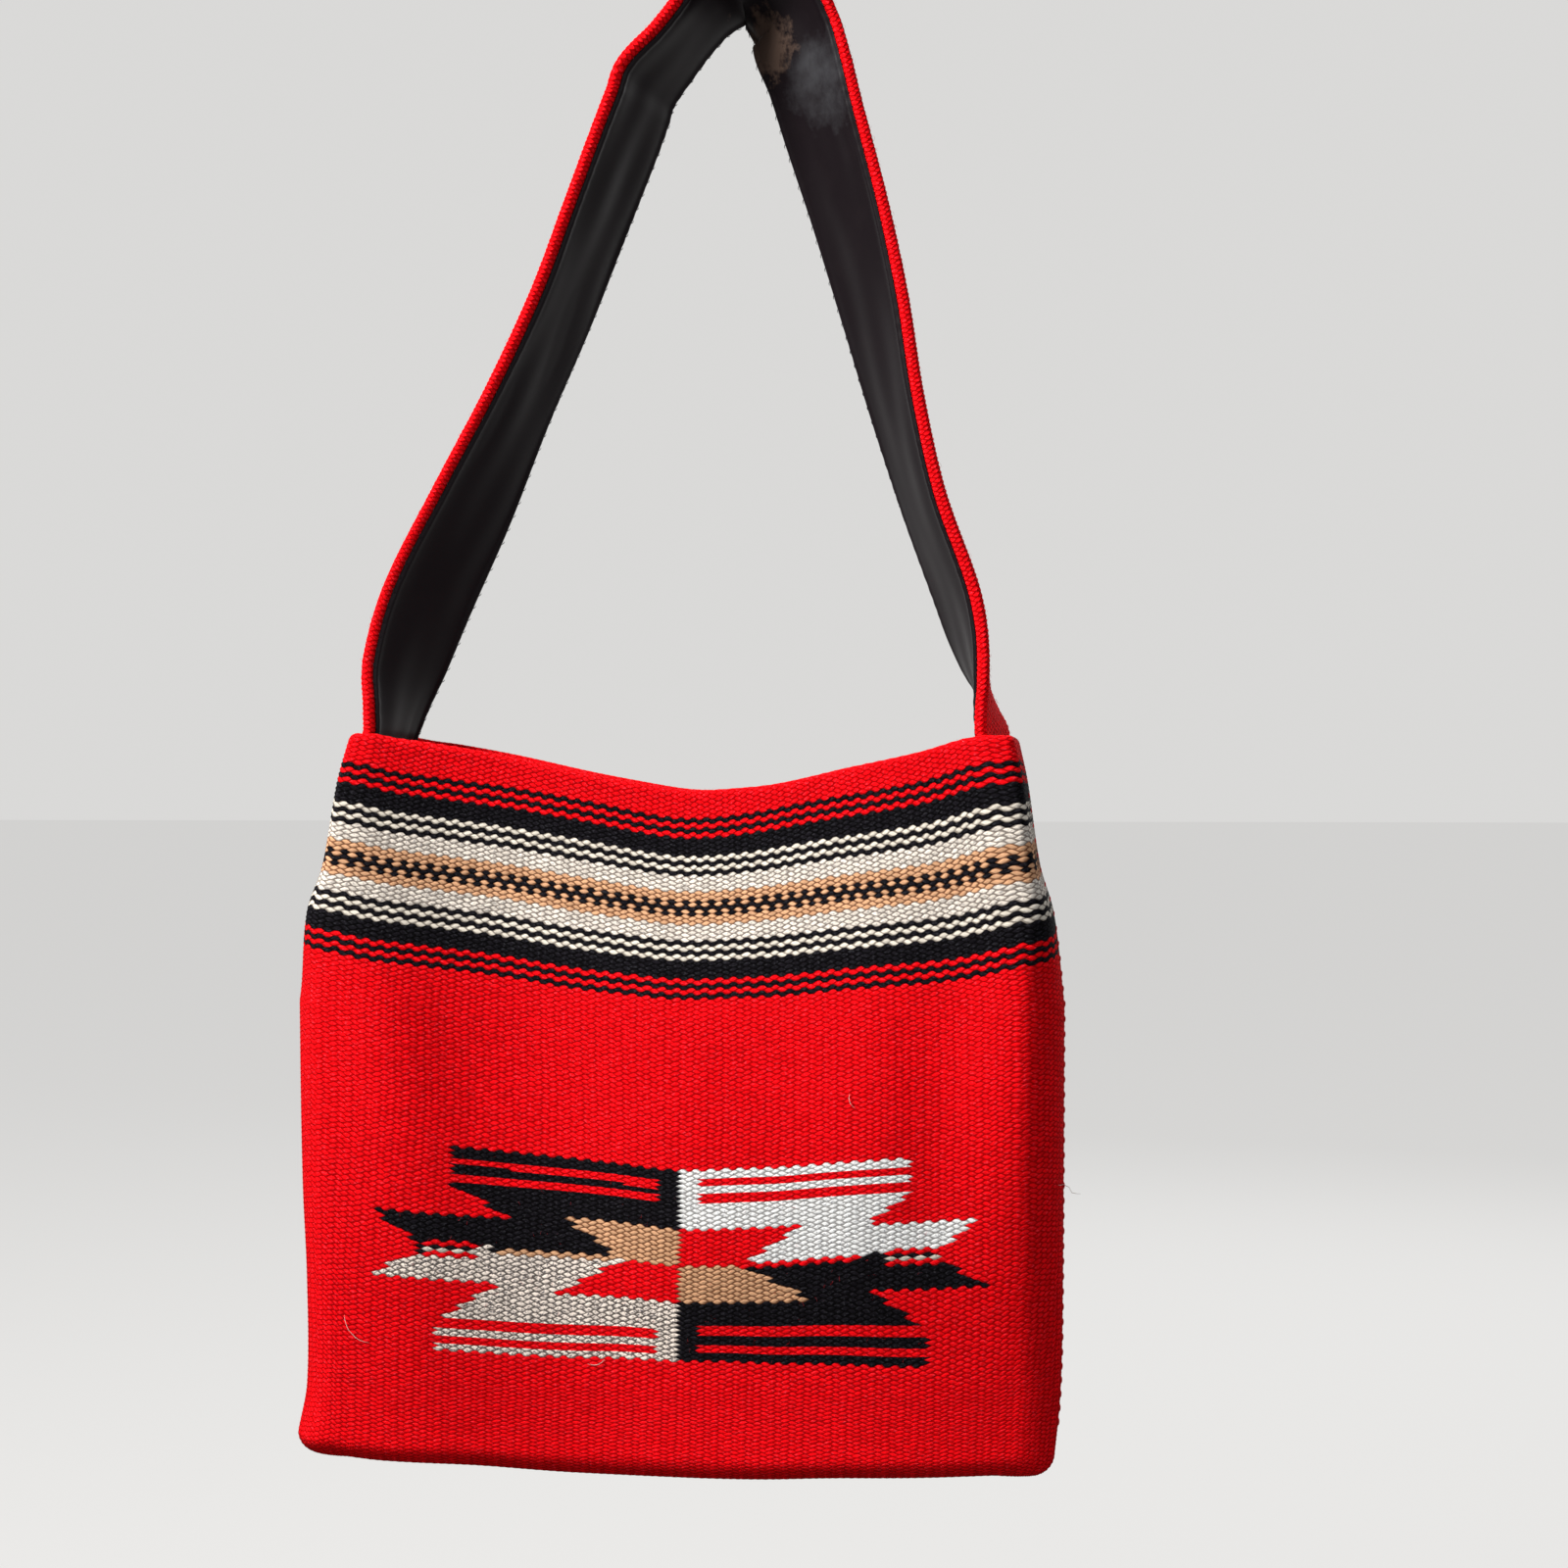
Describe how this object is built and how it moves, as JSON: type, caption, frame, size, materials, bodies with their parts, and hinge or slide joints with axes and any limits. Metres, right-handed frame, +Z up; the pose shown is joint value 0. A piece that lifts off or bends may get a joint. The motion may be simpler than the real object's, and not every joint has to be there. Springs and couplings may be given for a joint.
{
  "type": "shoulder bag",
  "caption": "Handwoven wool shoulder bag with stripes and a stepped figure, turned hem, satin lining and one long satin-lined wool strap.",
  "frame": {"origin": "the point of the strap's inner face at its crown, where the bag hangs", "axes": "+Z up along the bag's height, front facing -Y, +X to the right as seen from the front"},
  "size_m": [0.3061, 0.0583, 0.6048],
  "materials": {
    "wool": "handwoven weft-faced wool, red ground with black, pale, grey and tan stripes and figure, slightly fuzzy",
    "strap_wool": "red handwoven wool band, edges folded",
    "satin": "black satin, soft sheen, a few wrinkles"
  },
  "bodies": {
    "root": {"bag_body": "wool", "bag_lining": "satin", "strap": "strap_wool", "strap_lining": "satin"}
  },
  "joints": []
}
